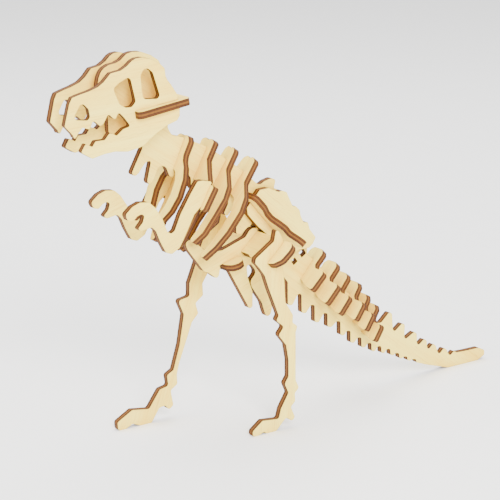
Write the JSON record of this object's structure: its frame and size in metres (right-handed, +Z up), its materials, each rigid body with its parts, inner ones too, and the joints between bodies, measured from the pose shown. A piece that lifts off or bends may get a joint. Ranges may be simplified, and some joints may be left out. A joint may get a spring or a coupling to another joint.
{
  "type": "wooden dinosaur jigsaw",
  "caption": "Slot-together wooden dinosaur skeleton: flat boards with halved slots form skull, spine, ribs, hips, legs, arms and a long tail with cross slabs.",
  "frame": {"origin": "centre of the bounding box in X and Y, on the ground plane the feet and the tail end stand on", "axes": "the animal faces -X, its left side is -Y, +Z is up; the spine, belly and tail plates lie in the XZ plane"},
  "size_m": [0.1932, 0.048, 0.14],
  "materials": {
    "board": "bare sanded board with scorched cut edges"
  },
  "bodies": {
    "trunk": {"spine_plate": "board", "belly_plate": "board", "tail_plate": "board", "hip_side_plate_L": "board", "hip_side_plate_R": "board", "hip_roof_plate": "board", "hip_cross_plate": "board", "pubis_cross_plate": "board", "skull_side_L": "board", "skull_side_R": "board", "skull_crossbar": "board"},
    "rib_1_body": {"rib_1": "board"},
    "rib_2_body": {"rib_2": "board"},
    "rib_3_body": {"rib_3": "board"},
    "rib_4_body": {"rib_4": "board"},
    "arm_L_body": {"arm_L": "board"},
    "arm_R_body": {"arm_R": "board"},
    "leg_L_body": {"leg_L": "board"},
    "leg_R_body": {"leg_R": "board"},
    "slab_1_body": {"tail_slab_1": "board"},
    "slab_2_body": {"tail_slab_2": "board"},
    "slab_3_body": {"tail_slab_3": "board"},
    "slab_4_body": {"tail_slab_4": "board"},
    "slab_5_body": {"tail_slab_5": "board"},
    "slab_6_body": {"tail_slab_6": "board"}
  },
  "joints": [
    {"name": "rib_1_lift", "type": "slide", "parent": "trunk", "child": "rib_1_body", "axis": [0.4384, 0, 0.8988], "range_m": [0, 0.032]},
    {"name": "rib_2_lift", "type": "slide", "parent": "trunk", "child": "rib_2_body", "axis": [0.5, 0, 0.866], "range_m": [0, 0.033]},
    {"name": "rib_3_lift", "type": "slide", "parent": "trunk", "child": "rib_3_body", "axis": [0.5736, 0, 0.8192], "range_m": [0, 0.033]},
    {"name": "rib_4_lift", "type": "slide", "parent": "trunk", "child": "rib_4_body", "axis": [0.6428, 0, 0.766], "range_m": [0, 0.0355]},
    {"name": "arm_L_slide", "type": "slide", "parent": "rib_2_body", "child": "arm_L_body", "axis": [-0.5, 0, -0.866], "range_m": [0, 0.011]},
    {"name": "arm_R_slide", "type": "slide", "parent": "rib_2_body", "child": "arm_R_body", "axis": [-0.5, 0, -0.866], "range_m": [0, 0.011]},
    {"name": "leg_L_slide", "type": "slide", "parent": "trunk", "child": "leg_L_body", "axis": [-0.7385, 0, -0.6743], "range_m": [0, 0.012]},
    {"name": "leg_R_slide", "type": "slide", "parent": "trunk", "child": "leg_R_body", "axis": [-0.7385, 0, -0.6743], "range_m": [0, 0.012]},
    {"name": "slab_1_lift", "type": "slide", "parent": "trunk", "child": "slab_1_body", "axis": [0.682, 0, 0.7314], "range_m": [0, 0.012]},
    {"name": "slab_2_lift", "type": "slide", "parent": "trunk", "child": "slab_2_body", "axis": [0.6561, 0, 0.7547], "range_m": [0, 0.012]},
    {"name": "slab_3_lift", "type": "slide", "parent": "trunk", "child": "slab_3_body", "axis": [0.6018, 0, 0.7986], "range_m": [0, 0.012]},
    {"name": "slab_4_lift", "type": "slide", "parent": "trunk", "child": "slab_4_body", "axis": [0.515, 0, 0.8572], "range_m": [0, 0.012]},
    {"name": "slab_5_lift", "type": "slide", "parent": "trunk", "child": "slab_5_body", "axis": [0.4848, 0, 0.8746], "range_m": [0, 0.012]},
    {"name": "slab_6_lift", "type": "slide", "parent": "trunk", "child": "slab_6_body", "axis": [0.4695, 0, 0.8829], "range_m": [0, 0.012]}
  ]
}
